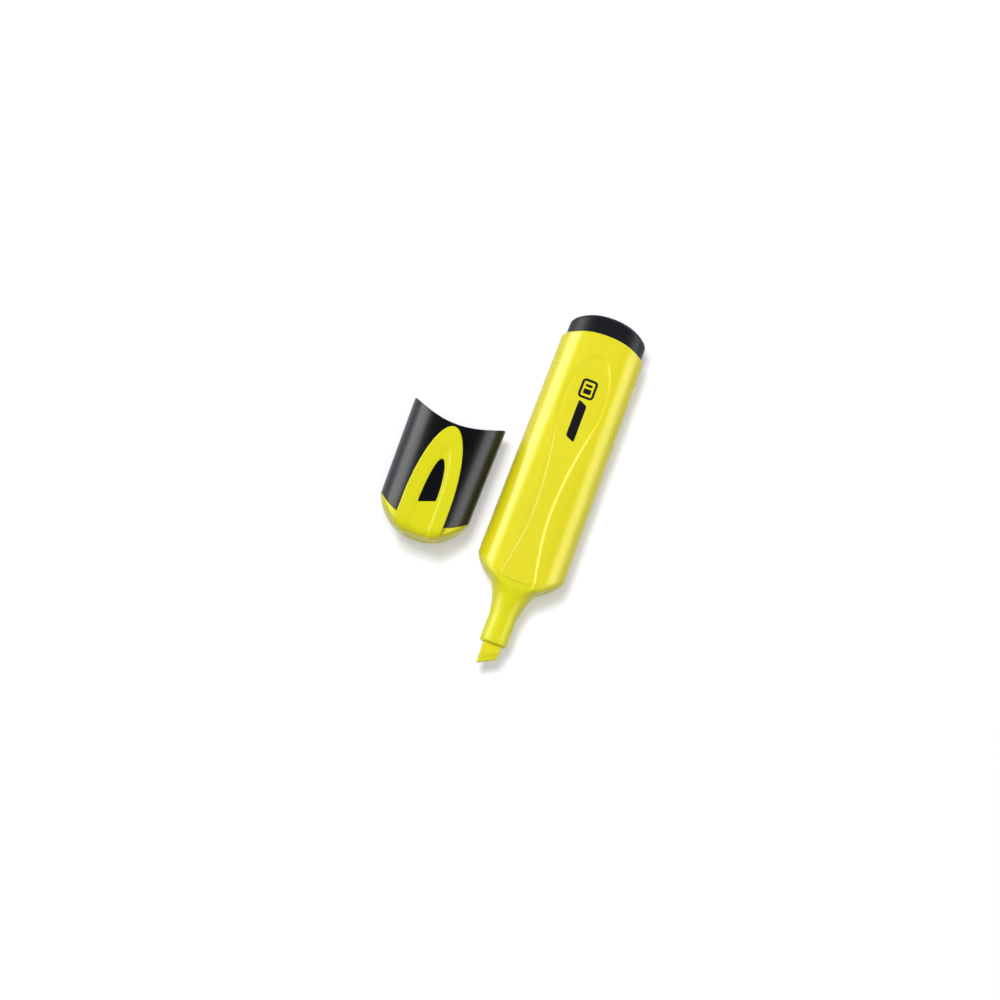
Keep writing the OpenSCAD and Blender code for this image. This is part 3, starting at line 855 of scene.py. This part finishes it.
# ---------------------------------------------------------------------------------------------
# Floor, light and camera
# ---------------------------------------------------------------------------------------------

FLOOR_TONE = (0.80, 0.795, 0.87, 1)
FLOOR_GLOW = 0.28                            # lifts the open floor to plain white
CEILING, WALLS = 0.06, 0.22                  # levels of the room round the table


def floor():
    """Plain white floor: it keeps the object's shadow and shows white to the camera."""
    mesh = bpy.data.meshes.new("floor")
    mesh.from_pydata([(-6, -6, 0), (6, -6, 0), (6, 6, 0), (-6, 6, 0)], [], [(0, 1, 2, 3)])
    m = Shader("white_floor")
    shown = m.seen_white()
    lit = m.node("ShaderNodeBsdfDiffuse", {}, {"Color": FLOOR_TONE})
    glow = m.node("ShaderNodeEmission", {}, {
        "Color": (1, 1, 1, 1), "Strength": shown * FLOOR_GLOW})
    both = m.node("ShaderNodeAddShader", {}, {0: lit, 1: glow})
    m.node("ShaderNodeOutputMaterial", {}, {"Surface": both})
    mesh.materials.append(m.data)
    ground = bpy.data.objects.new("floor", mesh)
    bpy.context.scene.collection.objects.link(ground)


def sky():
    """Studio round the table: pale walls, and a dark ceiling that flat faces mirror."""
    world = bpy.data.worlds.new("studio")
    bpy.context.scene.world = world
    m = Shader("studio", world)
    way = m.node("ShaderNodeTexCoord", {}, {}, "Generated")
    height = m.node("ShaderNodeSeparateXYZ", {}, {"Vector": way}, 2)
    level = m.ramp(height, (0.2, 1), (0.75, 0)) * WALLS + CEILING
    back = m.node("ShaderNodeBackground", {}, {"Color": (1, 1, 1, 1), "Strength": level})
    m.node("ShaderNodeOutputWorld", {}, {"Surface": back})


def softbox(name, direction, distance, size, radiance, lights=True, mirrored=True):
    """Rectangular lamp that faces the object: it lights surfaces, shows in gloss, or both."""
    wide, tall = size
    lamp = bpy.data.lights.new(name, "AREA")
    lamp.shape = "RECTANGLE"
    lamp.size, lamp.size_y = wide, tall
    lamp.energy = radiance * math.pi * wide * tall
    holder = bpy.data.objects.new(name, lamp)
    back = Vector(direction).normalized()
    side = Vector((1, 0, 0)) if abs(back.x) < 0.7 else Vector((0, 1, 0))
    up = back.cross(side).normalized()
    side = up.cross(back).normalized()
    turn = Matrix((side, up, back)).transposed().to_4x4()
    holder.matrix_world = Matrix.Translation(back * distance) @ turn
    holder.visible_camera = False
    holder.visible_diffuse = lights
    holder.visible_glossy = mirrored
    bpy.context.scene.collection.objects.link(holder)


def lamps():
    """A key and an overhead fill light the surfaces; a strip on each side draws the gloss."""
    softbox("key", (-0.18, -0.26, 1.0), 1.5, (0.4, 0.4), 27.0, mirrored=False)
    softbox("overhead", (0, 0, 1.0), 1.5, (1.5, 1.5), 1.3, mirrored=False)
    softbox("left_strip", (0, -1.0, 0.45), 1.2, (1.5, 0.9), 7.5, lights=False)
    softbox("right_strip", (0, 1.0, 0.45), 1.2, (1.5, 0.8), 5.0, lights=False)
    softbox("rear_strip", (-1.0, 0.35, 0.4), 1.2, (0.8, 0.2), 12.0, lights=False)
    softbox("front_strip", (1.0, 0, 0.6), 1.2, (0.8, 0.3), 2.5, lights=False)


def camera():
    """Stands above the table, tipped a little towards the nib, with the pen running down."""
    aim = Vector((7.2, 4.0, 6.9)) * MM
    tilt = Matrix.Rotation(math.radians(8.72), 4, "Y")
    turn = Matrix.Rotation(math.radians(3.8), 4, "Z")
    roll = Matrix.Rotation(math.radians(106.8), 4, "Z")
    lens = bpy.data.cameras.new("camera")
    lens.lens = 120.45
    holder = bpy.data.objects.new("camera", lens)
    stand = turn @ tilt @ roll
    holder.matrix_world = Matrix.Translation(aim) @ stand @ Matrix.Translation((0, 0, 1.0295))
    bpy.context.scene.collection.objects.link(holder)
    bpy.context.scene.camera = holder


camera()
barrel()
nose()
nib()
rear_plug()
print_mark()
cap_shell()
cap_end()
clip()
carried_over()
floor()
sky()
lamps()
bpy.context.scene.view_settings.view_transform = "Standard"
